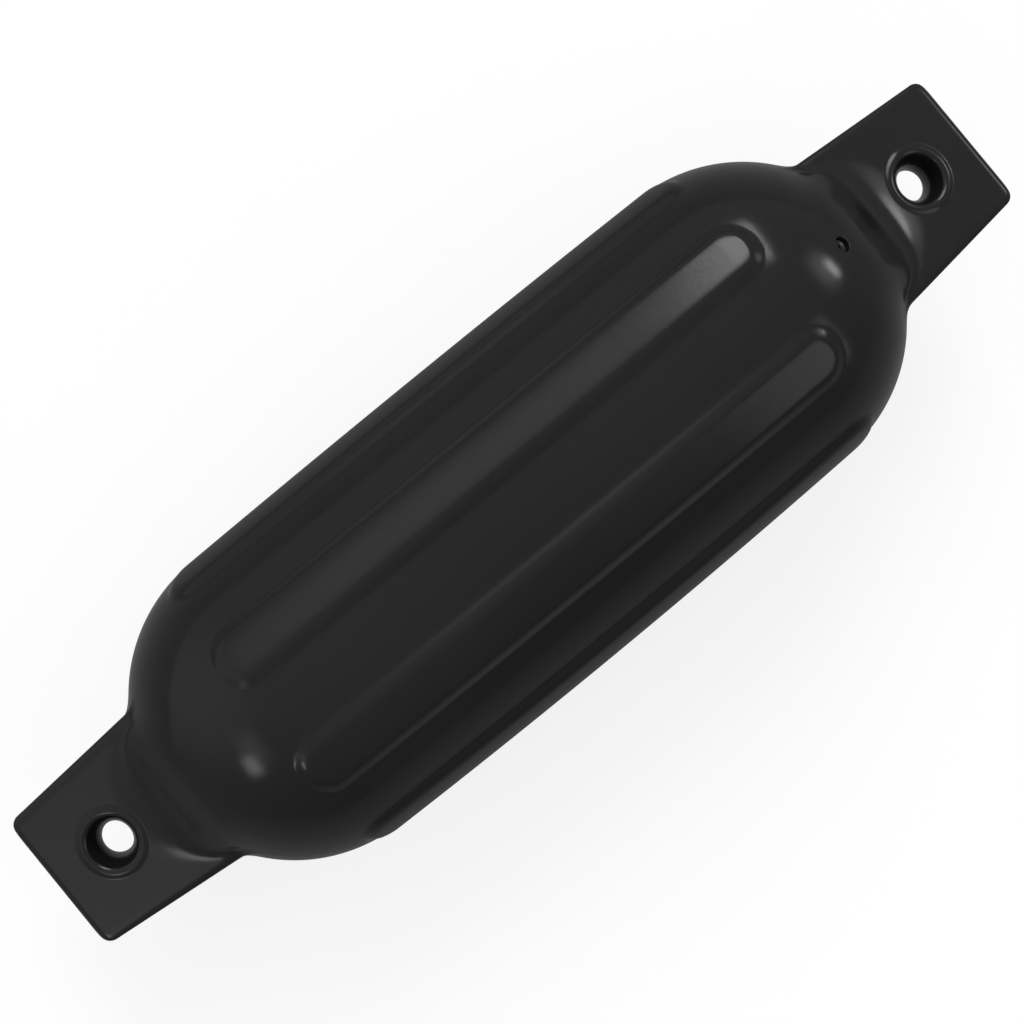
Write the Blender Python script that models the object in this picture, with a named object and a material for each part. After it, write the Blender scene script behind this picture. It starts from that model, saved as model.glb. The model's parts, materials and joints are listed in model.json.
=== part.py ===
# Ribbed boat fender with a rope eye at each end.
# The body is one hollow moulding that can't be seen into, so it is one solid here.
# It lies along X on its two lowest ribs, with the flat tabs level. Metres, +Z up.
import math

import bmesh
import bpy
from mathutils import Matrix, Vector

# Barrel: the plain wall, widest at mid-length
BARREL_LENGTH = 0.2732      # between the two places where a dome starts
WALL_RADIUS = 0.0796        # at mid-length, between the ribs
WALL_CROWN = 0.0006         # how much that radius has dropped where a dome starts

# Ribs: raised bands with rounded tips, spaced evenly round the barrel
RIB_COUNT = 8
RIB_HEIGHT = 0.0033         # at mid-length
RIB_FADE = 0.0010           # how much lower a rib is where a dome starts
RIB_TOP_WIDTH = 0.0186      # across its level top
RIB_WALL_RUN = 0.0062       # across each sloping side
RIB_TIP_REACH = 0.0018      # how far the round end of its top is set on to the dome
RIB_TIP_RUN = 0.0049        # along the steeper slope at its tip

# Tabs: a flat wedge on each dome, thick at its root and thin at its end
TAB_REACH = 0.0760          # from the dome's wall to the tab's end
TAB_ROOT_WIDTH = 0.0845
TAB_END_WIDTH = 0.0728
TAB_ROOT_THICKNESS = 0.0559
TAB_END_THICKNESS = 0.0196
TAB_CORNER_RADIUS = 0.0063  # seen from above
TAB_EDGE_RADIUS = 0.0038    # along the edges of its faces
SHOULDER_SLOPE = math.radians(50)     # from the dome down towards a tab's face
SHOULDER_SQUARENESS = 2.7   # 2 would be a round cone
FOOT_SLOPE = math.radians(31)         # of the gentler run that the shoulder ends in
FOOT_RUN = 0.0113           # how long that run is
SHOULDER_SINK = 0.07        # how steeply it goes under the dome before its slope starts
ROOT_FILLET = 0.0070        # where a tab's side leaves the dome
TOP_FILLET = 0.0004         # where the shoulder leaves the dome
FOOT_FILLET = 0.0012        # where the shoulder meets its gentler foot
FACE_FILLET = 0.0022        # where that foot meets a tab's face
EDGE_BLEND = 1.66           # width of the blend that rounds a square edge, over its radius

# Rope eyes: a waisted hole through each tab, with a round bead at both mouths
EYE_FROM_END = 0.0343       # from the tab's end to the eye's centre
EYE_MOUTH_RADIUS = 0.0124
EYE_WAIST_RADIUS = 0.0082
EYE_FLARE = 3               # 2 would open in a plain curve, more keeps the waist longer
BEAD_OUTER_RADIUS = 0.0170
BEAD_HEIGHT = 0.0015
BEAD_FOOT = 0.0001          # upright at the bead's foot, before it rounds over

# Inflation valve: a rubber plug set into a pocket in one dome
VALVE_ELEVATION = math.radians(53)    # up from the fender's axis, round the dome
VALVE_RADIUS = 0.0035
VALVE_LENGTH = 0.0060
VALVE_BEVEL = 0.0006        # round the edge of the plug's face
VALVE_DISH = 0.0004         # how far that face sinks towards the needle hole
VALVE_RECESS = 0.0014       # the plug's face below the dome
VALVE_CLEARANCE = 0.0003    # all round the plug and under it
VALVE_LIP = 0.0006          # flare at the pocket's mouth
NEEDLE_RADIUS = 0.0008
NEEDLE_DEPTH = 0.0035

# Surfaces
VINYL_COLOUR = (0.018, 0.018, 0.019)
VINYL_ROUGHNESS = 0.38
RUBBER_COLOUR = (0.01, 0.01, 0.01)
RUBBER_ROUGHNESS = 0.7

# Mesh density
TURN_STEPS = 32             # round the eyes, their beads and the valve
BARREL_SHARES = (0, 0.35, 0.7, 1)              # along half of the barrel
TIP_SHARES = (0.5, 0.85, 1)                    # along a rib's level top past the barrel
WALL_SHARES = (0.33, 0.67, 1)                  # down the sloping side of its tip
ROOT_SHARES = (-1, -0.55, -0.15, 0.2, 0.55, 0.9)    # past a tab's root, in fillet sizes
FOOT_SHARES = (-1, 0, 1)                       # past each end of the shoulder's foot, in fillet runs
DOME_STATIONS = 5           # along each dome, from the ribs to the tab's root
END_STATIONS = 4            # round the end of each tab
CORNER_POINTS = 4           # round each corner of a tab's section
SIDE_POINTS = 2             # down each half of a tab's side
BEAD_POINTS = 4
EYE_POINTS = 3
LIP_POINTS = 3
SHARP_ANGLE = math.radians(35)                 # edges steeper than this are shaded sharp

shoulderX = BARREL_LENGTH / 2
domeRadius = WALL_RADIUS - WALL_CROWN
rootX = shoulderX + math.sqrt(domeRadius ** 2 - (TAB_ROOT_WIDTH / 2) ** 2)
tabEndX = rootX + TAB_REACH
eyeX = tabEndX - EYE_FROM_END
ribPitch = 2 * math.pi / RIB_COUNT
ribTopHalf = RIB_TOP_WIDTH / 2
ribBaseHalf = ribTopHalf + RIB_WALL_RUN
ribsEndX = shoulderX + RIB_TIP_REACH + ribTopHalf + RIB_TIP_RUN
faceSlope = (TAB_ROOT_THICKNESS - TAB_END_THICKNESS) / 2 / TAB_REACH
slopeStartX = shoulderX + domeRadius * math.sin(SHOULDER_SLOPE)
slopeStartZ = domeRadius * math.cos(SHOULDER_SLOPE)
slopeFall = math.tan(SHOULDER_SLOPE)
footFall = math.tan(FOOT_SLOPE)
faceGap = slopeStartZ - TAB_ROOT_THICKNESS / 2 + faceSlope * (slopeStartX - rootX)
slopeMeetsFaceX = slopeStartX + faceGap / (slopeFall - faceSlope)
footStartX = slopeMeetsFaceX - FOOT_RUN * (footFall - faceSlope) / (slopeFall - faceSlope)
footEndX = footStartX + FOOT_RUN


def clearScene():
    for thing in list(bpy.data.objects):
        bpy.data.objects.remove(thing, do_unlink=True)


def plainMaterial(name, colour, roughness):
    material = bpy.data.materials.new(name)
    material.use_nodes = True
    shader = material.node_tree.nodes["Principled BSDF"]
    shader.inputs["Base Color"].default_value = (*colour, 1)
    shader.inputs["Roughness"].default_value = roughness
    shader.inputs["Metallic"].default_value = 0
    return material


def smoothStep(value):
    value = min(max(value, 0), 1)
    return value * value * (3 - 2 * value)


def blendedMax(a, b, width):
    overlap = max(0, 1 - abs(a - b) / width)
    return max(a, b) + width / 4 * overlap ** 2


def blendedMin(a, b, width):
    return -blendedMax(-a, -b, width)


def wallRadius(x):
    # the plain barrel, then a dome that is part of a sphere
    if x <= shoulderX:
        return WALL_RADIUS - WALL_CROWN * (x / shoulderX) ** 2
    return math.sqrt(max(domeRadius ** 2 - (x - shoulderX) ** 2, 0))


def ribRise(x, angle):
    # each rib is a stadium laid on the wall: how far this place is from its core line
    fromCore = (angle / ribPitch - 0.5 - round(angle / ribPitch - 0.5)) * ribPitch
    across = abs(fromCore) * wallRadius(x)
    beyond = 0
    if x > shoulderX:
        arc = domeRadius * math.asin(min((x - shoulderX) / domeRadius, 1))
        beyond = max(arc - RIB_TIP_REACH, 0)
    distance = math.hypot(across, beyond)
    height = RIB_HEIGHT - RIB_FADE * min(x / shoulderX, 1) ** 2
    if distance <= ribTopHalf:
        return height
    run = RIB_WALL_RUN + (RIB_TIP_RUN - RIB_WALL_RUN) * (beyond / distance) ** 2
    return height * smoothStep(1 - (distance - ribTopHalf) / run)


def roundedEnd(x, radius):
    # how far an edge of this radius has drawn in at x, near the tab's end
    past = min(max(x - (tabEndX - radius), 0), radius)
    return radius - math.sqrt(radius ** 2 - past ** 2)


def tabHalfWidth(x):
    taper = (TAB_ROOT_WIDTH - TAB_END_WIDTH) / 2 / TAB_REACH
    return TAB_ROOT_WIDTH / 2 - taper * (x - rootX) - roundedEnd(x, TAB_CORNER_RADIUS)


def tabHalfThickness(x):
    return TAB_ROOT_THICKNESS / 2 - faceSlope * (x - rootX) - roundedEnd(x, TAB_EDGE_RADIUS)


def shoulderHalfHeight(x):
    # a straight slope that leaves the dome where the dome has the same slope, then its foot
    if x < slopeStartX:
        return wallRadius(x) - SHOULDER_SINK * (slopeStartX - x)
    slope = slopeStartZ - slopeFall * (x - slopeStartX)
    foot = tabHalfThickness(x) + (footFall - faceSlope) * (footEndX - x)
    return blendedMax(slope, foot, FOOT_FILLET)


def tabRadius(x, angle):
    across, up = abs(math.sin(angle)), abs(math.cos(angle))
    side = tabHalfWidth(x) / max(across, 1e-6)
    top = tabHalfThickness(x) / max(up, 1e-6)
    high = shoulderHalfHeight(x)
    if high > 0:
        power = SHOULDER_SQUARENESS
        hump = ((across / tabHalfWidth(x)) ** power + (up / high) ** power) ** (-1 / power)
        top = blendedMax(top, hump, FACE_FILLET)
    return blendedMin(top, side, EDGE_BLEND * TAB_EDGE_RADIUS)


def bodyRadius(x, angle):
    # distance from the fender's axis to its skin, at this place along and round it
    wall = wallRadius(x) + ribRise(x, angle)
    if x <= ribsEndX:
        return wall
    fillet = TOP_FILLET + ROOT_FILLET * math.sin(angle) ** 2
    return blendedMax(wall, tabRadius(x, angle), fillet)


def barrelAngles():
    # places round the barrel that follow the edges of every rib
    top = ribTopHalf / WALL_RADIUS
    base = ribBaseHalf / WALL_RADIUS
    offsets = [-ribPitch / 2, -base, -(base + top) / 2, -top, 0, top, (base + top) / 2, base]
    return [(rib + 0.5) * ribPitch + offset for rib in range(RIB_COUNT) for offset in offsets]


def tabAngles(x, count):
    # the same number of places, spread round a tab's section with extra at its corners
    wide, thick = tabHalfWidth(x), tabHalfThickness(x)
    flatWide, flatThick = wide - TAB_EDGE_RADIUS, thick - TAB_EDGE_RADIUS
    faceSteps = count // 4 - CORNER_POINTS - SIDE_POINTS - 1
    points = [(flatWide * step / faceSteps, thick) for step in range(faceSteps)]
    for step in range(CORNER_POINTS + 1):
        turn = math.pi / 2 * step / CORNER_POINTS
        across = flatWide + TAB_EDGE_RADIUS * math.sin(turn)
        points.append((across, flatThick + TAB_EDGE_RADIUS * math.cos(turn)))
    for step in range(SIDE_POINTS, 0, -1):
        points.append((wide, flatThick * step / (SIDE_POINTS + 1)))
    quarter = [math.atan2(across, up) for across, up in points]
    half = quarter + [math.pi / 2] + [math.pi - angle for angle in reversed(quarter[1:])]
    return half + [math.pi + angle for angle in half]


def ringAngles(x):
    # from the ribs' own places on the barrel to the tab's on the dome
    barrel = barrelAngles()
    share = smoothStep((x - ribsEndX) / (slopeStartX - ribsEndX))
    if share == 0:
        return barrel
    tab = tabAngles(x, len(barrel))
    return [a + share * (b - a) for a, b in zip(barrel, tab)]


def stations():
    # places along one half of the fender where its section is drawn
    places = [shoulderX * share for share in BARREL_SHARES]
    places += [shoulderX + RIB_TIP_REACH + ribTopHalf * share for share in TIP_SHARES]
    places += [ribsEndX - RIB_TIP_RUN * (1 - share) for share in WALL_SHARES]
    ribsEnd = math.asin((ribsEndX - shoulderX) / domeRadius)
    rootEnd = math.asin((rootX - 2 * ROOT_FILLET - shoulderX) / domeRadius)
    for step in range(1, DOME_STATIONS + 1):
        turn = ribsEnd + (rootEnd - ribsEnd) * step / DOME_STATIONS
        places.append(shoulderX + domeRadius * math.sin(turn))
    places += [rootX + ROOT_FILLET * share for share in ROOT_SHARES]
    footFilletRun = FOOT_FILLET / (slopeFall - footFall)
    faceFilletRun = FACE_FILLET / (footFall - faceSlope)
    places += [footStartX + footFilletRun * share for share in FOOT_SHARES]
    places += [footEndX + faceFilletRun * share for share in FOOT_SHARES]
    cornerStart = tabEndX - TAB_CORNER_RADIUS
    places.append((places[-1] + cornerStart) / 2)
    for step in range(END_STATIONS + 1):
        turn = math.pi / 2 * step / END_STATIONS
        places.append(cornerStart + TAB_CORNER_RADIUS * math.sin(turn))
    return sorted(places)


def meshObject(name, vertices, faces, material):
    mesh = bpy.data.meshes.new(name)
    mesh.from_pydata(vertices, [], faces)
    shape = bmesh.new()
    shape.from_mesh(mesh)
    bmesh.ops.recalc_face_normals(shape, faces=shape.faces)
    shape.to_mesh(mesh)
    shape.free()
    mesh.shade_smooth()
    mesh.set_sharp_from_angle(angle=SHARP_ANGLE)
    if material:
        mesh.materials.append(material)
    thing = bpy.data.objects.new(name, mesh)
    bpy.context.scene.collection.objects.link(thing)
    return thing


def bodySkin():
    # rings of points from one tab's end to the other, with a flat cap on each end
    half = stations()
    along = [-x for x in reversed(half[1:])] + half
    vertices = []
    for x in along:
        for angle in ringAngles(abs(x)):
            radius = bodyRadius(abs(x), angle)
            vertices.append((x, radius * math.sin(angle), radius * math.cos(angle)))
    size = len(barrelAngles())
    faces = []
    for ring in range(len(along) - 1):
        for place in range(size):
            here, there = ring * size + place, ring * size + (place + 1) % size
            faces.append((here, there, there + size, here + size))
    faces.append(tuple(range(size)))
    faces.append(tuple(range(len(vertices) - size, len(vertices))))
    return vertices, faces


def turnedSolid(profile, place):
    # a profile of (radius, height) turned round its own axis, then set in place
    vertices, faces = [], []
    inner = profile[1:-1]
    for radius, height in inner:
        for step in range(TURN_STEPS):
            turn = 2 * math.pi * step / TURN_STEPS
            vertices.append(place @ Vector((radius * math.cos(turn), radius * math.sin(turn), height)))
    for level in range(len(inner) - 1):
        for step in range(TURN_STEPS):
            here = level * TURN_STEPS + step
            there = level * TURN_STEPS + (step + 1) % TURN_STEPS
            faces.append((here, there, there + TURN_STEPS, here + TURN_STEPS))
    last = (len(inner) - 1) * TURN_STEPS
    for ends, first in ((profile[0], 0), (profile[-1], last)):
        centre = len(vertices)
        vertices.append(place @ Vector((0, 0, ends[1])))
        for step in range(TURN_STEPS):
            faces.append((centre, first + step, first + (step + 1) % TURN_STEPS))
    return vertices, faces


def joinedSolids(solids):
    vertices, faces = [], []
    for points, polygons in solids:
        faces += [tuple(index + len(vertices) for index in polygon) for polygon in polygons]
        vertices += points
    return vertices, faces


def facePlace(end, side):
    # on a tab's sloping face, over the eye's centre, with +Z out of the face
    height = tabHalfThickness(eyeX)
    tilt = Matrix.Rotation(end * math.atan(faceSlope), 4, "Y")
    if side < 0:
        tilt = Matrix.Rotation(math.pi, 4, "X") @ tilt
    return Matrix.Translation((end * eyeX, 0, side * height)) @ tilt


def beadProfile():
    # half round on top, from the eye's mouth out to the bead's foot, and sunk in the tab
    sunk = -TAB_END_THICKNESS / 4
    middle = (BEAD_OUTER_RADIUS + EYE_MOUTH_RADIUS) / 2
    reach = (BEAD_OUTER_RADIUS - EYE_MOUTH_RADIUS) / 2
    profile = [(0, sunk), (BEAD_OUTER_RADIUS, sunk)]
    for step in range(BEAD_POINTS + 1):
        turn = math.pi * step / BEAD_POINTS
        height = BEAD_FOOT + (BEAD_HEIGHT - BEAD_FOOT) * math.sin(turn)
        profile.append((middle + reach * math.cos(turn), height))
    profile += [(EYE_WAIST_RADIUS / 2, sunk / 2), (0, sunk / 2)]
    return profile


def eyeProfile():
    # narrow at mid-thickness, opening in a curve to both mouths, and on past the faces
    high = tabHalfThickness(eyeX) + BEAD_HEIGHT
    clear = high + BEAD_OUTER_RADIUS
    flare = EYE_MOUTH_RADIUS - EYE_WAIST_RADIUS
    profile = [(0, -clear), (EYE_MOUTH_RADIUS, -clear)]
    for step in range(-EYE_POINTS, EYE_POINTS + 1):
        share = step / EYE_POINTS
        profile.append((EYE_WAIST_RADIUS + flare * abs(share) ** EYE_FLARE, high * share))
    profile += [(EYE_MOUTH_RADIUS, clear), (0, clear)]
    return profile


def valvePlace():
    # on the dome at the +X end, with +Z out of the dome
    tilt = Matrix.Rotation(math.pi / 2 - VALVE_ELEVATION, 4, "Y")
    outward = tilt @ Vector((0, 0, domeRadius))
    return Matrix.Translation(outward + Vector((shoulderX, 0, 0))) @ tilt


def pocketProfile():
    radius = VALVE_RADIUS + VALVE_CLEARANCE
    floor = -(VALVE_RECESS + VALVE_LENGTH + VALVE_CLEARANCE)
    lipFoot = -VALVE_LIP - radius ** 2 / (2 * domeRadius)
    profile = [(0, floor), (radius, floor)]
    for step in range(LIP_POINTS + 1):
        turn = math.pi / 2 * step / LIP_POINTS
        profile.append((radius + VALVE_LIP * (1 - math.cos(turn)), lipFoot + VALVE_LIP * math.sin(turn)))
    profile += [(radius + VALVE_LIP, VALVE_LENGTH), (0, VALVE_LENGTH)]
    return profile


def plugProfile():
    # a bevelled, dished face with a needle hole down its middle
    top = -VALVE_RECESS
    return [(0, top - VALVE_LENGTH), (VALVE_RADIUS, top - VALVE_LENGTH),
            (VALVE_RADIUS, top - VALVE_BEVEL), (VALVE_RADIUS - VALVE_BEVEL, top),
            (NEEDLE_RADIUS, top - VALVE_DISH), (NEEDLE_RADIUS, top - NEEDLE_DEPTH),
            (0, top - NEEDLE_DEPTH)]


def guide(name, solids):
    thing = meshObject(name, *joinedSolids(solids), None)
    thing.hide_render = True
    thing.display_type = "WIRE"
    return thing


def boolean(thing, operation, other):
    modifier = thing.modifiers.new(other.name, "BOOLEAN")
    modifier.operation = operation
    modifier.solver = "EXACT"
    modifier.object = other


def buildFender():
    vinyl = plainMaterial("black_vinyl", VINYL_COLOUR, VINYL_ROUGHNESS)
    rubber = plainMaterial("black_rubber", RUBBER_COLOUR, RUBBER_ROUGHNESS)

    body = meshObject("fender_body", *bodySkin(), vinyl)
    faces = [(end, side) for end in (-1, 1) for side in (-1, 1)]
    beads = guide("eye_beads", [turnedSolid(beadProfile(), facePlace(*face)) for face in faces])
    centres = [Matrix.Translation((end * eyeX, 0, 0)) for end in (-1, 1)]
    eyes = guide("eye_holes", [turnedSolid(eyeProfile(), centre) for centre in centres])
    pocket = guide("valve_pocket", [turnedSolid(pocketProfile(), valvePlace())])
    boolean(body, "UNION", beads)
    boolean(body, "DIFFERENCE", eyes)
    boolean(body, "DIFFERENCE", pocket)

    valve = meshObject("inflation_valve", *turnedSolid(plugProfile(), valvePlace()), rubber)

    # stand it all on the surface it lies on
    lift = -min(vertex.co.z for vertex in body.data.vertices)
    for thing in (body, beads, eyes, pocket, valve):
        thing.location.z = lift


clearScene()
buildFender()
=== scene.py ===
# The ribbed boat fender, dressed: a fine skin over the frame, black vinyl, the rubber
# valve, a pale floor, soft light and the camera. Metres, +Z up, +X towards the valve.
import json
import math

import bmesh
import bpy
from mathutils import Matrix, Vector


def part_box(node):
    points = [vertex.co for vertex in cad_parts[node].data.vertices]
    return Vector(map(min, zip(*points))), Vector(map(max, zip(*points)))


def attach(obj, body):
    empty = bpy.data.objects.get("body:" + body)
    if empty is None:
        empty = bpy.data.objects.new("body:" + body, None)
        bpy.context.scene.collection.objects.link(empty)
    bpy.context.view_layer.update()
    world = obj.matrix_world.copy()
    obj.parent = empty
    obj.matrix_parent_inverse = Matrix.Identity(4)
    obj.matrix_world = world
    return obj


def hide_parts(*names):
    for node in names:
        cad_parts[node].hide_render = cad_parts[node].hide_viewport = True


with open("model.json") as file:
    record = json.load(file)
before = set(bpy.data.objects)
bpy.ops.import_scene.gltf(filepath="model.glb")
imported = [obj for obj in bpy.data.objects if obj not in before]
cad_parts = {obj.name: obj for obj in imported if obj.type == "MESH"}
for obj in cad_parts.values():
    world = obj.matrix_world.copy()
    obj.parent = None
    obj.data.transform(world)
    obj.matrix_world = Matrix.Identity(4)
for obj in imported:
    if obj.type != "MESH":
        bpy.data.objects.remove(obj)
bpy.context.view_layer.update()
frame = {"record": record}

lowCorner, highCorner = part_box("fender_body")
axisHeight = (lowCorner.z + highCorner.z) / 2      # the fender's own axis above the floor
halfLength = highCorner.x
eyeBox = next(opening["box_m"] for opening in frame["record"]["physics"]["openings"]
              if opening["name"] == "rope_eye_plus_x")
eyeX = (eyeBox[0][0] + eyeBox[1][0]) / 2
print("frame loaded, fender", round(2 * halfLength * 1000), "mm long")


# small helpers

tiny = 1e-6                # keeps a division off zero


def smoothStep(value):
    value = min(max(value, 0), 1)
    return value * value * (3 - 2 * value)


def blendedMax(a, b, width):
    # the larger of two heights, with a fillet where they cross
    overlap = max(0, 1 - abs(a - b) / width)
    return max(a, b) + width / 4 * overlap ** 2


def blendedMin(a, b, width):
    return -blendedMax(-a, -b, width)


def spread(start, end, steps):
    return [start + (end - start) * step / steps for step in range(steps)]


# the body's form

barrel = {
    "length": 0.2732,          # between the starts of the two domes
    "radius": 0.0796,          # of the wall at mid-length
    "crown": 0.0006,           # how much less it is at the domes
    "bow": 0.0021,             # the whole moulding bends sideways by this much
}

rib = {
    "count": 8,
    "height": 0.0033,
    "fade": 0.0010,            # lower by this at the domes
    "topWidth": 0.0186,
    "wallRun": 0.0062,
    "tipReach": 0.0018,        # how far the level top's round end is set on to the dome
    "tipRun": 0.0049,          # across the wall at the tips
    "bulge": 0.35,             # how much steeper its wall is at the foot than at mid-height
    "footSoftness": 0.0007,    # fillet where the wall starts to rise
    "edgeSoftness": 0.0005,    # rounding along the top's edge
}

tab = {
    "reach": 0.0760,
    "rootWidth": 0.0845,
    "endWidth": 0.0728,
    "rootThickness": 0.0559,
    "endThickness": 0.0196,
    "cornerRadius": 0.0063,
    "edgeRadius": 0.0038,
    "edgeBlend": 1.66,         # blend width that rounds a square edge, over its radius
}

shoulder = {
    "slope": math.radians(50),
    "squareness": 2.7,         # 2 would be a round cone
    "sink": 0.07,              # how fast it dives under the dome before its slope starts
    "footSlope": math.radians(31),       # of the gentler run that it ends in
    "footRun": 0.0113,
    "sideFillet": 0.0070,      # between the dome and a tab's sides
    "topFillet": 0.0004,       # between the dome and the slope
    "footFillet": 0.0038,      # between the slope and its gentler run
    "faceFillet": 0.0042,      # between that run and a tab's face
}

shoulderX = barrel["length"] / 2
domeRadius = barrel["radius"] - barrel["crown"]
rootX = shoulderX + math.sqrt(domeRadius ** 2 - (tab["rootWidth"] / 2) ** 2)
tabEndX = rootX + tab["reach"]
ribPitch = 2 * math.pi / rib["count"]
ribTopHalf = rib["topWidth"] / 2
ribBaseHalf = ribTopHalf + rib["wallRun"]
ribsEndX = shoulderX + rib["tipReach"] + ribTopHalf + rib["tipRun"] + rib["footSoftness"]
faceSlope = (tab["rootThickness"] - tab["endThickness"]) / 2 / tab["reach"]
faceLean = math.cos(math.atan(faceSlope))       # a circle on a tab's face is this narrow from above
slopeStartX = shoulderX + domeRadius * math.sin(shoulder["slope"])
slopeStartZ = domeRadius * math.cos(shoulder["slope"])
slopeFall = math.tan(shoulder["slope"])
footFall = math.tan(shoulder["footSlope"])
faceGap = slopeStartZ - tab["rootThickness"] / 2 + faceSlope * (slopeStartX - rootX)
slopeMeetsFaceX = slopeStartX + faceGap / (slopeFall - faceSlope)
footEndX = slopeMeetsFaceX + shoulder["footRun"] * (slopeFall - footFall) / (slopeFall - faceSlope)


def wallRadius(x):
    if x <= shoulderX:
        return barrel["radius"] - barrel["crown"] * (x / shoulderX) ** 2
    return math.sqrt(max(domeRadius ** 2 - (x - shoulderX) ** 2, 0))


def ribRise(x, angle):
    # a rib is a long stadium, level on top; its wall bulges a little and is steeper at the tips
    fromCore = (angle / ribPitch - 0.5 - round(angle / ribPitch - 0.5)) * ribPitch
    across = abs(fromCore) * wallRadius(x)
    beyond = 0
    if x > shoulderX:
        beyond = max(domeRadius * math.asin(min((x - shoulderX) / domeRadius, 1)) - rib["tipReach"], 0)
    height = rib["height"] - rib["fade"] * (min(x, ribsEndX) / shoulderX) ** 2
    fromMiddle = max(math.hypot(across, beyond), tiny)
    run = rib["wallRun"] + (rib["tipRun"] - rib["wallRun"]) * (beyond / fromMiddle) ** 2
    share = 1 - (fromMiddle - ribTopHalf) / run
    rise = height * share * (1 + rib["bulge"] * max(1 - share, 0))
    rise = blendedMax(rise, 0, rib["footSoftness"])
    return blendedMin(rise, height, rib["edgeSoftness"])


def roundedEnd(x, radius):
    # how much a round edge of this radius takes off near a tab's end
    past = min(max(x - (tabEndX - radius), 0), radius)
    return radius - math.sqrt(radius ** 2 - past ** 2)


def tabHalfWidth(x):
    taper = (tab["rootWidth"] - tab["endWidth"]) / 2 / tab["reach"]
    return tab["rootWidth"] / 2 - taper * (x - rootX) - roundedEnd(x, tab["cornerRadius"])


def tabHalfThickness(x):
    plain = tab["rootThickness"] / 2 - faceSlope * (x - rootX)
    return plain - roundedEnd(x, tab["edgeRadius"])


def shoulderHeight(x):
    if x < slopeStartX:
        return wallRadius(x) - shoulder["sink"] * (slopeStartX - x)
    slope = slopeStartZ - slopeFall * (x - slopeStartX)
    foot = tabHalfThickness(x) + (footFall - faceSlope) * (footEndX - x)
    return blendedMax(slope, foot, shoulder["footFillet"])


def tabRadius(x, angle):
    across, up = abs(math.sin(angle)), abs(math.cos(angle))
    side = tabHalfWidth(x) / max(across, tiny)
    top = tabHalfThickness(x) / max(up, tiny)
    high = shoulderHeight(x)
    if high > 0:
        power = shoulder["squareness"]
        hump = ((across / tabHalfWidth(x)) ** power + (up / high) ** power) ** (-1 / power)
        top = blendedMax(top, hump, shoulder["faceFillet"])
    return blendedMin(top, side, tab["edgeBlend"] * tab["edgeRadius"])


def skinRadius(x, angle):
    wall = wallRadius(x) + ribRise(x, angle)
    if x <= ribsEndX:
        return wall
    fillet = shoulder["topFillet"] + shoulder["sideFillet"] * math.sin(angle) ** 2
    return blendedMax(wall, tabRadius(x, angle), fillet)


def skinPoint(x, angle):
    radius = skinRadius(abs(x), angle)
    return Vector((x, radius * math.sin(angle), radius * math.cos(angle)))


halvings = 24              # enough to find a height to far under a micron


def faceHeight(x, y):
    # the upper skin's height over a place on a tab, found by halving
    low, high = 0, math.pi / 2
    for step in range(halvings):
        middle = (low + high) / 2
        if skinRadius(x, middle) * math.sin(middle) < abs(y):
            low = middle
        else:
            high = middle
    return skinRadius(x, low) * math.cos(low)


def bowed(point):
    # the straight design bent sideways, each section turned with the curve
    share = point.x / halfLength
    lean = 2 * barrel["bow"] * share / halfLength
    aside = barrel["bow"] * (1 - share ** 2)
    return Vector((point.x - lean * point.y, point.y - aside, point.z + axisHeight))


# the skin's net of points: rings along the fender, places round it

net = {
    "ribSteps": (5, 10, 8, 10, 5),       # wall, up, over the top, down, wall
    "ribMargin": 0.0010,       # the steps up and down start and end this far past the rise
    "cornerSteps": 16,         # round each long edge of a tab
    "sideSteps": 22,
    "barrelGap": 0.0105,       # gaps between rings, from mid-length out
    "tipGap": 0.00085,
    "domeGap": 0.0018,
    "shoulderGap": 0.0011,
    "tabGap": 0.0022,
    "beforeTips": 0.0020,      # the tips' gap starts this far before the shoulder
    "afterTips": 0.0010,
    "afterFoot": 0.0060,       # the shoulder's gap goes on this far past its foot
    "endSteps": 12,            # round a tab's end corners
    "endInset": (0.97, 0.90),  # the flat end's inner ring, as shares of its width and thickness
}


def barrelAngles():
    foot = (ribBaseHalf + net["ribMargin"]) / barrel["radius"]
    edge = (ribTopHalf - net["ribMargin"]) / barrel["radius"]
    marks = [-ribPitch / 2, -foot, -edge, edge, foot, ribPitch / 2]
    offsets = []
    for start, end, steps in zip(marks, marks[1:], net["ribSteps"]):
        offsets += spread(start, end, steps)
    return [(number + 0.5) * ribPitch + offset for number in range(rib["count"]) for offset in offsets]


def tabAngles(x, count):
    wide, thick = tabHalfWidth(x), tabHalfThickness(x)
    flatWide, flatThick = wide - tab["edgeRadius"], thick - tab["edgeRadius"]
    faceSteps = count // 4 - net["cornerSteps"] - net["sideSteps"] - 1
    points = [(flatWide * step / faceSteps, thick) for step in range(faceSteps)]
    for step in range(net["cornerSteps"] + 1):
        turn = math.pi / 2 * step / net["cornerSteps"]
        points.append((flatWide + tab["edgeRadius"] * math.sin(turn),
                       flatThick + tab["edgeRadius"] * math.cos(turn)))
    for step in range(net["sideSteps"], 0, -1):
        points.append((wide, flatThick * step / (net["sideSteps"] + 1)))
    quarter = [math.atan2(across, up) for across, up in points]
    half = quarter + [math.pi / 2] + [math.pi - angle for angle in reversed(quarter[1:])]
    return half + [math.pi + angle for angle in half]


ribAngles = barrelAngles()
around = len(ribAngles)


def ringAngles(x):
    # from the ribs' places on the barrel to the tab's on the dome
    share = smoothStep((x - ribsEndX) / (slopeStartX - ribsEndX))
    if share == 0:
        return ribAngles
    return [a + share * (b - a) for a, b in zip(ribAngles, tabAngles(x, around))]


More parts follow.
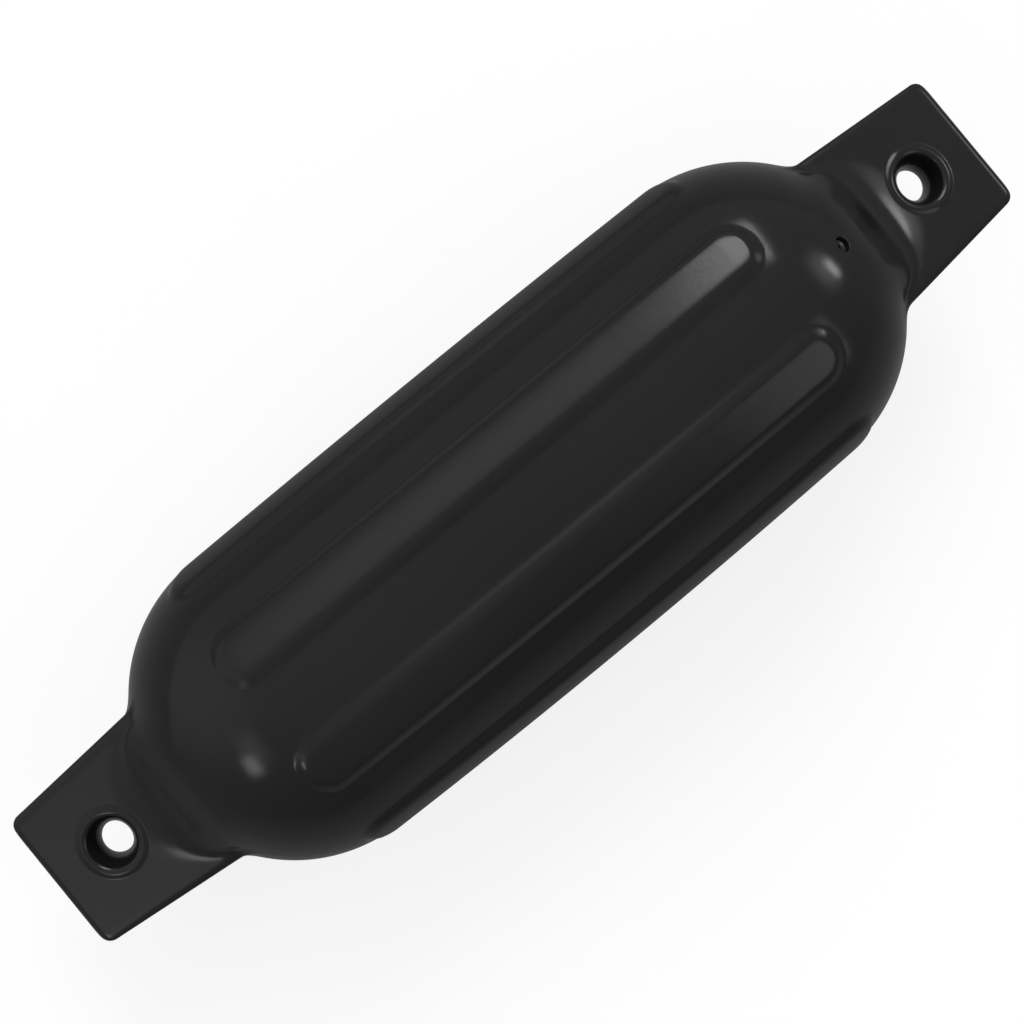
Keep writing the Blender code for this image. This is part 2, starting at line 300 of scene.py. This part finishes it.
def alongPlaces():
    # where the rings stand, from mid-length to a tab's end
    runs = [
        (shoulderX - net["beforeTips"], net["barrelGap"]),
        (ribsEndX + net["afterTips"], net["tipGap"]),
        (slopeStartX, net["domeGap"]),
        (footEndX + net["afterFoot"], net["shoulderGap"]),
        (tabEndX - tab["cornerRadius"], net["tabGap"]),
    ]
    places, start = [], 0
    for end, gap in runs:
        places += spread(start, end, math.ceil((end - start) / gap))
        start = end
    for step in range(net["endSteps"] + 1):
        turn = math.pi / 2 * step / net["endSteps"]
        places.append(start + tab["cornerRadius"] * math.sin(turn))
    return places


halfPlaces = alongPlaces()
middleRing = len(halfPlaces) - 1


# rope eyes

ropeEye = {
    "clearance": 0.0212,       # half of the square that each eye's patch fills
    "patchRadius": 0.0184,     # the patch goes from that square to this circle
    "beadOuter": 0.0170,
    "beadCrest": 0.0148,
    "beadHeight": 0.0008,
    "beadFullness": 2.0,       # 2 is a parabola
    "beadSoftness": 0.0009,
    "mouthRadius": 0.0120,
    "waistRadius": 0.0080,
    "flare": 2.2,              # 2 would open as a parabola, more keeps the waist longer
    "mouthTurn": math.radians(68),       # how far the lip has turned down at the mouth
    "patchSteps": 5,
    "beadSteps": 10,
    "lipSteps": 8,
    "throatSteps": 10,
}


def eyeRings():
    # from the patch's edge in to the waist: radius, height over the face, share of that height
    crest, outer, mouth = ropeEye["beadCrest"], ropeEye["beadOuter"], ropeEye["mouthRadius"]
    rings = []
    for step in range(1, ropeEye["beadSteps"] + 1):
        radius = ropeEye["patchRadius"] + (crest - ropeEye["patchRadius"]) * step / ropeEye["beadSteps"]
        fromCrest = (radius - crest) / (outer - crest)
        rise = ropeEye["beadHeight"] * (1 - fromCrest ** ropeEye["beadFullness"])
        rings.append((radius, blendedMax(rise, 0, ropeEye["beadSoftness"]), 1))
    lipRadius = (crest - mouth) / math.sin(ropeEye["mouthTurn"])
    for step in range(1, ropeEye["lipSteps"] + 1):
        turn = ropeEye["mouthTurn"] * step / ropeEye["lipSteps"]
        rings.append((crest - lipRadius * math.sin(turn),
                      ropeEye["beadHeight"] - lipRadius * (1 - math.cos(turn)), 1))
    mouthRise = rings[-1][1]
    for step in range(1, ropeEye["throatSteps"] + 1):
        share = 1 - step / ropeEye["throatSteps"]
        radius = ropeEye["waistRadius"] + (mouth - ropeEye["waistRadius"]) * share ** ropeEye["flare"]
        rings.append((radius, mouthRise, share))
    return rings


# inflation valve

valve = {
    "elevation": math.radians(53),
    "aside": 0.0013,           # undoes most of the bow there: the valve lies on the frame's
    "clearance": 0.0085,       # half of the square that the pocket's patch fills
    "lipStart": 0.0052,
    "pocketRadius": 0.0038,
    "lipRadius": 0.0006,
    "plugRadius": 0.0035,
    "plugLength": 0.0060,
    "recess": 0.0023,
    "rimRadius": 0.0004,
    "dish": 0.0004,
    "needleRadius": 0.0008,
    "needleLip": 0.0002,
    "needleDepth": 0.0035,
    "floorGap": 0.0003,        # under the plug's foot
    "patchSteps": 3,
    "lipSteps": 6,
    "rimSteps": 6,
    "dishSteps": 8,
    "needleSteps": 4,
    "split": 3,                # places round the pocket for each place of the net
    "turnSteps": 72,           # round the plug
}
valveOut = Vector((math.cos(valve["elevation"]), 0, math.sin(valve["elevation"])))
valveUp = Vector((-math.sin(valve["elevation"]), 0, math.cos(valve["elevation"])))
valveAside = Vector((0, 1, 0))
domeCentre = Vector((shoulderX, 0, 0))


def valvePoint(a, b, rise):
    # over the dome round the valve: two ways along the skin and one out of it
    b += valve["aside"]
    out = math.sqrt(domeRadius ** 2 - a ** 2 - b ** 2)
    return domeCentre + valveUp * a + valveAside * b + valveOut * (out + rise)


def pocketRings():
    # from the dome's surface over the lip and down to the pocket's floor: radius and rise
    rings = [(valve["lipStart"], 0), (valve["pocketRadius"] + valve["lipRadius"], 0)]
    for step in range(1, valve["lipSteps"] + 1):
        turn = math.pi / 2 * step / valve["lipSteps"]
        rings.append((valve["pocketRadius"] + valve["lipRadius"] * (1 - math.sin(turn)),
                      -valve["lipRadius"] * (1 - math.cos(turn))))
    floor = -(valve["recess"] + valve["plugLength"] + valve["floorGap"])
    return rings + [(valve["pocketRadius"], floor / 2), (valve["pocketRadius"], floor)]


# building the skin: its points, its faces, and the cells of the net that something else fills

skinPoints, skinFaces, cutCells = [], [], set()


def pointOf(ring, place):
    return ring * around + place % around


def addRing(places):
    skinPoints.extend(places)
    return list(range(len(skinPoints) - len(places), len(skinPoints)))


def joinRings(outer, inner):
    # the inner ring may have several points for each one of the outer
    ratio = len(inner) // len(outer)
    for number, here in enumerate(outer):
        there = outer[(number + 1) % len(outer)]
        run = [inner[(number * ratio + extra) % len(inner)] for extra in range(ratio, -1, -1)]
        skinFaces.append((here, there, *run))


def growRing(outer, places):
    # a new ring inside the last one
    inner = addRing(places)
    joinRings(outer, inner)
    return inner


def cutHole(rings, places):
    for ring in range(*rings):
        cutCells.update((ring, place % around) for place in range(*places))


def loopAround(rings, places):
    # the net's edge round a block of cells, as (ring, place) pairs
    first, last = rings
    left, right = places
    loop = [(first, place) for place in range(left, right)]
    loop += [(ring, right) for ring in range(first, last)]
    loop += [(last, place) for place in range(right, left, -1)]
    return loop + [(ring, left) for ring in range(last, first, -1)]


def openFace(end, side):
    # cuts an eye's patch out of the net and gives the edge of the opening
    numbers = [number for number, x in enumerate(halfPlaces) if abs(x - eyeX) <= ropeEye["clearance"]]
    placesOut = max(place for place, angle in enumerate(ringAngles(eyeX)[:around // 4])
                    if skinRadius(eyeX, angle) * math.sin(angle) <= ropeEye["clearance"])
    middle = 0 if side > 0 else around // 2
    rings = sorted((middleRing + end * numbers[0], middleRing + end * numbers[-1]))
    cutHole(rings, (middle - placesOut, middle + placesOut))
    loop = []
    for number, place in loopAround((numbers[0], numbers[-1]), (-placesOut, placesOut)):
        where = place if side > 0 else around // 2 - place
        loop.append(pointOf(middleRing + end * number, where))
    return loop


def eyeSpot(turn, radius, share):
    # a place round an eye; at share 1 the circle lies in the tab's sloping face
    lie = 1 - (1 - faceLean) * share
    return eyeX + radius * math.cos(turn) * lie, radius * math.sin(turn)


def addEyeFace(end, side, waist=None):
    # one face's patch, bead, lip and throat, down to the waist that both faces share
    ring = openFace(end, side)
    spots = [(abs(skinPoints[index].x) - eyeX, skinPoints[index].y) for index in ring]
    turns = [math.atan2(y, x) for x, y in spots]
    reaches = [math.hypot(x, y) for x, y in spots]
    for step in range(1, ropeEye["patchSteps"] + 1):
        share = step / ropeEye["patchSteps"]
        places = []
        for turn, reach in zip(turns, reaches):
            radius = reach + (ropeEye["patchRadius"] - reach) * share
            x, y = eyeSpot(turn, radius, share)
            places.append(Vector((end * x, y, side * faceHeight(x, y))))
        ring = growRing(ring, places)
    for radius, rise, share in eyeRings():
        if share == 0 and waist:
            joinRings(ring, waist)
            return waist
        places = []
        for turn in turns:
            x, y = eyeSpot(turn, radius, share)
            if share == 1:
                height = faceHeight(x, y) + rise
            else:
                height = share * (faceHeight(*eyeSpot(turn, ropeEye["mouthRadius"], 1)) + rise)
            places.append(Vector((end * x, y, side * height)))
        ring = growRing(ring, places)
    return ring


def addRopeEye(end):
    waist = addEyeFace(end, 1)
    addEyeFace(end, -1, waist)


def addValvePocket():
    # in the dome at the +X end
    arc = valve["clearance"] / domeRadius
    nearX = shoulderX + domeRadius * math.cos(valve["elevation"] + arc)
    farX = shoulderX + domeRadius * math.cos(valve["elevation"] - arc)
    middleX = (nearX + farX) / 2
    numbers = [number for number, x in enumerate(halfPlaces) if nearX <= x <= farX]
    placesOut = max(place for place, angle in enumerate(ringAngles(middleX)[:around // 4])
                    if wallRadius(middleX) * math.sin(angle) <= valve["clearance"])
    rings = (middleRing + numbers[0], middleRing + numbers[-1])
    cutHole(rings, (-placesOut, placesOut))
    ring = [pointOf(*pair) for pair in loopAround(rings, (-placesOut, placesOut))]
    spots = []
    for here, there in zip(ring, ring[1:] + ring[:1]):
        for extra in range(valve["split"]):
            spot = skinPoints[here].lerp(skinPoints[there], extra / valve["split"]) - domeCentre
            spots.append((spot.dot(valveUp), spot.dot(valveAside) - valve["aside"]))
    turns = [math.atan2(b, a) for a, b in spots]
    reaches = [math.hypot(a, b) for a, b in spots]
    for step in range(1, valve["patchSteps"]):
        places = []
        for turn, reach in zip(turns, reaches):
            radius = reach + (valve["lipStart"] - reach) * step / valve["patchSteps"]
            places.append(valvePoint(radius * math.cos(turn), radius * math.sin(turn), 0))
        ring = growRing(ring, places)
    for radius, rise in pocketRings():
        ring = growRing(ring, [valvePoint(radius * math.cos(turn), radius * math.sin(turn), rise)
                               for turn in turns])
    skinFaces.append(tuple(ring))


def addPlainNet(ringCount):
    # every cell that wasn't cut out
    for ring in range(ringCount - 1):
        for place in range(around):
            if (ring, place) not in cutCells:
                skinFaces.append((pointOf(ring, place), pointOf(ring, place + 1),
                                  pointOf(ring + 1, place + 1), pointOf(ring + 1, place)))


def addFlatEnd(ring):
    wide, thick = net["endInset"]
    edge = [pointOf(ring, place) for place in range(around)]
    inner = growRing(edge, [Vector((skinPoints[index].x, skinPoints[index].y * wide,
                                    skinPoints[index].z * thick)) for index in edge])
    skinFaces.append(tuple(inner))


def buildSkin():
    along = [-x for x in reversed(halfPlaces[1:])] + halfPlaces
    for x in along:
        addRing([skinPoint(x, angle) for angle in ringAngles(abs(x))])
    for end in (-1, 1):
        addRopeEye(end)
    addValvePocket()
    addPlainNet(len(along))
    for ring in (0, len(along) - 1):
        addFlatEnd(ring)
    return skinPoints, skinFaces


def meshPiece(name, points, faces, material):
    mesh = bpy.data.meshes.new(name)
    mesh.from_pydata([bowed(point) for point in points], [], faces)
    shape = bmesh.new()
    shape.from_mesh(mesh)
    bmesh.ops.delete(shape, geom=[vert for vert in shape.verts if not vert.link_faces], context="VERTS")
    bmesh.ops.recalc_face_normals(shape, faces=shape.faces)
    shape.to_mesh(mesh)
    shape.free()
    mesh.shade_smooth()
    mesh.materials.append(material)
    piece = bpy.data.objects.new(name, mesh)
    bpy.context.scene.collection.objects.link(piece)
    triangles = sum(len(face.vertices) - 2 for face in mesh.polygons)
    print(name, "has", triangles, "triangles")
    return piece


def plugProfile():
    # up the side, over the rounded rim, across the dished face and down the needle hole: radius, height
    top = -valve["recess"]
    profile = [(valve["plugRadius"], top - valve["plugLength"])]
    for step in range(valve["rimSteps"] + 1):
        turn = math.pi / 2 * step / valve["rimSteps"]
        profile.append((valve["plugRadius"] - valve["rimRadius"] * (1 - math.cos(turn)),
                        top - valve["rimRadius"] * (1 - math.sin(turn))))
    rimEnd = valve["plugRadius"] - valve["rimRadius"]
    holeEdge = valve["needleRadius"] + valve["needleLip"]
    for step in range(1, valve["dishSteps"] + 1):
        share = step / valve["dishSteps"]
        profile.append((rimEnd + (holeEdge - rimEnd) * share, top - valve["dish"] * share * (2 - share)))
    for step in range(1, valve["needleSteps"] + 1):
        turn = math.pi / 2 * step / valve["needleSteps"]
        profile.append((holeEdge - valve["needleLip"] * math.sin(turn),
                        top - valve["dish"] - valve["needleLip"] * (1 - math.cos(turn))))
    return profile + [(valve["needleRadius"], top - valve["needleDepth"])]


def buildPlug():
    # the profile turned about the valve's own axis, closed at the foot and at the needle hole's floor
    points, faces = [], []
    middle = valvePoint(0, 0, 0)
    steps = valve["turnSteps"]
    profile = plugProfile()
    for radius, height in profile:
        for step in range(steps):
            turn = 2 * math.pi * step / steps
            across = valveUp * radius * math.cos(turn) + valveAside * radius * math.sin(turn)
            points.append(middle + valveOut * height + across)
    for level in range(len(profile) - 1):
        for step in range(steps):
            here, there = level * steps + step, level * steps + (step + 1) % steps
            faces.append((here, there, there + steps, here + steps))
    faces.append(tuple(range(steps)))
    faces.append(tuple(range(len(points) - steps, len(points))))
    return points, faces


# finishes

vinylLook = {
    "colour": (0.0090, 0.0090, 0.0094),
    "paler": (0.0115, 0.0115, 0.0118),
    "roughness": (0.125, 0.16),
    "specular": 0.36,
    "cloudSize": 9,            # slow changes of tint; all four sizes are noise cells per metre
    "sheenSize": 36,
    "peelSize": 420,           # the faint orange peel of a moulding
    "peelDepth": 0.000014,
    "grainSize": 2600,
    "grainDepth": 0.000004,
}

rubberLook = {
    "colour": (0.008, 0.008, 0.008),
    "paler": (0.014, 0.0135, 0.013),
    "roughness": (0.2, 0.26),
    "specular": 0.4,
    "cloudSize": 60,
    "sheenSize": 240,
    "peelSize": 1500,
    "peelDepth": 0.00001,
    "grainSize": 5000,
    "grainDepth": 0.000004,
}

noiseMiddle = (0.3, 0.7)   # nearly all of a noise lies between these


def mouldedFinish(name, look):
    material = bpy.data.materials.new(name)
    material.use_nodes = True
    nodes, links = material.node_tree.nodes, material.node_tree.links
    shader = nodes["Principled BSDF"]
    shader.inputs["Specular IOR Level"].default_value = look["specular"]
    place = nodes.new("ShaderNodeTexCoord")

    def noise(scale, detail):
        node = nodes.new("ShaderNodeTexNoise")
        node.inputs["Scale"].default_value = scale
        node.inputs["Detail"].default_value = detail
        links.new(place.outputs["Object"], node.inputs["Vector"])
        return node.outputs["Fac"]

    def ranged(source, low, high):
        node = nodes.new("ShaderNodeMapRange")
        node.inputs["From Min"].default_value = noiseMiddle[0]
        node.inputs["From Max"].default_value = noiseMiddle[1]
        node.inputs["To Min"].default_value = low
        node.inputs["To Max"].default_value = high
        links.new(source, node.inputs["Value"])
        return node.outputs["Result"]

    clouds = noise(look["cloudSize"], detail=3)
    tint = nodes.new("ShaderNodeMix")
    tint.data_type = "RGBA"
    tint.inputs["A"].default_value = (*look["colour"], 1)
    tint.inputs["B"].default_value = (*look["paler"], 1)
    links.new(ranged(clouds, 0, 1), tint.inputs["Factor"])
    links.new(tint.outputs["Result"], shader.inputs["Base Color"])

    sheen = noise(look["sheenSize"], detail=4)
    links.new(ranged(sheen, *look["roughness"]), shader.inputs["Roughness"])

    peel = nodes.new("ShaderNodeBump")
    peel.inputs["Distance"].default_value = look["peelDepth"]
    links.new(noise(look["peelSize"], detail=2), peel.inputs["Height"])
    grain = nodes.new("ShaderNodeBump")
    grain.inputs["Distance"].default_value = look["grainDepth"]
    links.new(noise(look["grainSize"], detail=2), grain.inputs["Height"])
    links.new(peel.outputs["Normal"], grain.inputs["Normal"])
    links.new(grain.outputs["Normal"], shader.inputs["Normal"])
    return material


vinyl = mouldedFinish("blackVinyl", vinylLook)
rubber = mouldedFinish("valveRubber", rubberLook)

skin = meshPiece("fender_skin", *buildSkin(), vinyl)
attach(skin, "root")
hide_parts("fender_body")

plug = meshPiece("valve_plug", *buildPlug(), rubber)
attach(plug, "root")
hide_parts("inflation_valve")
print("fender dressed")


# floor, light and camera

studio = {
    "floorSize": 8.0,
    "floorColour": (0.30, 0.30, 0.30),
    "floorRoughness": 0.9,
    "fibreSize": 30,           # the floor's faint mottling, per metre
    "fibreShade": 0.98,
    "floorLift": 0.78,         # seen by the camera and through glass: paper white
    "floorGloss": 0.025,       # seen in gloss: the vinyl's rims stay dark
    "air": 0.30,               # the room's own glow, and how it grows along X, Y and Z
    "airGrowth": (0.01, 0.13, 0.18),
    "airLift": 0.60,
    "airGloss": 0.01,
    # how each window leans to +X and +Y, its half sizes and edge softness that way, in degrees
    "windows": {
        "backGlow": {"lean": (7, 42), "half": (12, 12), "soft": (18, 12), "glow": 0.54},
        "key": {"lean": (29.6, 43), "half": (12.5, 15), "soft": (0.8, 6), "glow": 4.9},
        "fill": {"lean": (28.7, -46), "half": (12.5, 17), "soft": (0.7, 6), "glow": 0.88},
        "rightLamp": {"lean": (67.4, -7), "half": (2.8, 5), "soft": (0.9, 2.5), "glow": 7.0},
        "rightGlow": {"lean": (61, -4), "half": (7, 9), "soft": (5, 7), "glow": 1.3},
        "farLamp": {"lean": (-50.5, -18), "half": (4.5, 6), "soft": (2.8, 3.5), "glow": 2.8},
        "farGlow": {"lean": (-43, -9), "half": (7, 10), "soft": (6, 9), "glow": 0.55},
        "roomGlow": {"lean": (-52, 36), "half": (22, 26), "soft": (20, 22), "glow": 0.22},
    },
}


def nodeTools(tree):
    # short ways to add the maths nodes of one tree
    def socketed(node, sockets):
        for number, value in enumerate(sockets):
            if isinstance(value, (int, float, tuple)):
                node.inputs[number].default_value = value
            else:
                tree.links.new(value, node.inputs[number])

    def maths(operation, *sockets):
        node = tree.nodes.new("ShaderNodeMath")
        node.operation = operation
        socketed(node, sockets)
        return node.outputs["Value"]

    def dot(vector, constant):
        node = tree.nodes.new("ShaderNodeVectorMath")
        node.operation = "DOT_PRODUCT"
        socketed(node, (vector, tuple(constant)))
        return node.outputs["Value"]

    def fall(value, near, far):
        # 1 up to near, 0 beyond far, smooth between
        node = tree.nodes.new("ShaderNodeMapRange")
        node.interpolation_type = "SMOOTHSTEP"
        socketed(node, (value, near, far, 1.0, 0.0))
        return node.outputs["Result"]

    return maths, dot, fall


def seenLift(tree, lift, gloss):
    # what is added for the camera, through glass and in gloss
    maths = nodeTools(tree)[0]
    path = tree.nodes.new("ShaderNodeLightPath")
    straight = maths("ADD", path.outputs["Is Camera Ray"], path.outputs["Is Transmission Ray"])
    return maths("ADD", maths("MULTIPLY", straight, lift),
                 maths("MULTIPLY", path.outputs["Is Glossy Ray"], gloss))


def makeFloor():
    half = studio["floorSize"] / 2
    mesh = bpy.data.meshes.new("floor")
    mesh.from_pydata([(-half, -half, 0), (half, -half, 0), (half, half, 0), (-half, half, 0)], [],
                     [(0, 1, 2, 3)])
    floor = bpy.data.objects.new("floor", mesh)
    bpy.context.scene.collection.objects.link(floor)
    material = bpy.data.materials.new("paleFloor")
    material.use_nodes = True
    nodes, links = material.node_tree.nodes, material.node_tree.links
    shader = nodes["Principled BSDF"]
    shader.inputs["Roughness"].default_value = studio["floorRoughness"]
    shader.inputs["Specular IOR Level"].default_value = 0
    place = nodes.new("ShaderNodeTexCoord")
    fibre = nodes.new("ShaderNodeTexNoise")
    fibre.inputs["Scale"].default_value = studio["fibreSize"]
    links.new(place.outputs["Object"], fibre.inputs["Vector"])
    tint = nodes.new("ShaderNodeMix")
    tint.data_type = "RGBA"
    tint.inputs["A"].default_value = (*studio["floorColour"], 1)
    shaded = [value * studio["fibreShade"] for value in studio["floorColour"]]
    tint.inputs["B"].default_value = (*shaded, 1)
    links.new(fibre.outputs["Fac"], tint.inputs["Factor"])
    links.new(tint.outputs["Result"], shader.inputs["Base Color"])
    shader.inputs["Emission Color"].default_value = (1, 1, 1, 1)
    links.new(seenLift(material.node_tree, studio["floorLift"], studio["floorGloss"]),
              shader.inputs["Emission Strength"])
    mesh.materials.append(material)


def makeWorld():
    # a dim room with soft windows of light, each set by where it stands seen from the fender
    world = bpy.data.worlds.new("studioRoom")
    world.use_nodes = True
    tree = world.node_tree
    maths, dot, fall = nodeTools(tree)
    towards = tree.nodes.new("ShaderNodeTexCoord").outputs["Generated"]
    glow = maths("ADD", dot(towards, studio["airGrowth"]), studio["air"])
    for window in studio["windows"].values():
        leanX, leanY = window["lean"]
        lean, bearing = math.radians(math.hypot(leanX, leanY)), math.atan2(leanY, leanX)
        middle = Matrix.Rotation(bearing, 3, "Z") @ Vector((math.sin(lean), 0, math.cos(lean)))
        alongY = middle.cross(Vector((1, 0, 0))).normalized()
        alongX = alongY.cross(middle)
        ahead = dot(towards, middle)
        mask = maths("GREATER_THAN", ahead, 0.0)
        for axis, half, soft in zip((alongX, alongY), window["half"], window["soft"]):
            off = maths("ABSOLUTE", maths("DIVIDE", dot(towards, axis), ahead))
            inner, outer = math.radians(max(half - soft, 0)), math.radians(half + soft)
            mask = maths("MULTIPLY", mask, fall(off, math.tan(inner), math.tan(outer)))
        glow = maths("MULTIPLY_ADD", mask, window["glow"], glow)
    lifted = maths("ADD", glow, seenLift(tree, studio["airLift"], studio["airGloss"]))
    air = tree.nodes["Background"]
    air.inputs["Color"].default_value = (1, 1, 1, 1)
    tree.links.new(lifted, air.inputs["Strength"])
    bpy.context.scene.world = world


view = {
    "distance": 0.8649,        # from the fender's axis
    "lens": 63.58,
    "turn": math.radians(-39.42),        # of the picture about its own middle
    "tiltAlong": math.radians(-2.716),   # off straight down
    "tiltAcross": math.radians(-1.819),
    "asideAlong": -0.00419,
    "asideAcross": -0.00044,
}


def makeCamera():
    level = Matrix.Rotation(view["tiltAcross"], 4, "X") @ Matrix.Rotation(view["tiltAlong"], 4, "Y")
    centre = Matrix.Translation((0, 0, axisHeight))
    back = Matrix.Translation((view["asideAlong"], view["asideAcross"], view["distance"]))
    data = bpy.data.cameras.new("camera")
    data.lens = view["lens"]
    camera = bpy.data.objects.new("camera", data)
    camera.matrix_world = centre @ level @ back @ Matrix.Rotation(view["turn"], 4, "Z")
    bpy.context.scene.collection.objects.link(camera)
    bpy.context.scene.camera = camera


makeFloor()
makeWorld()
makeCamera()
bpy.context.scene.view_settings.view_transform = "Standard"
print("studio ready")
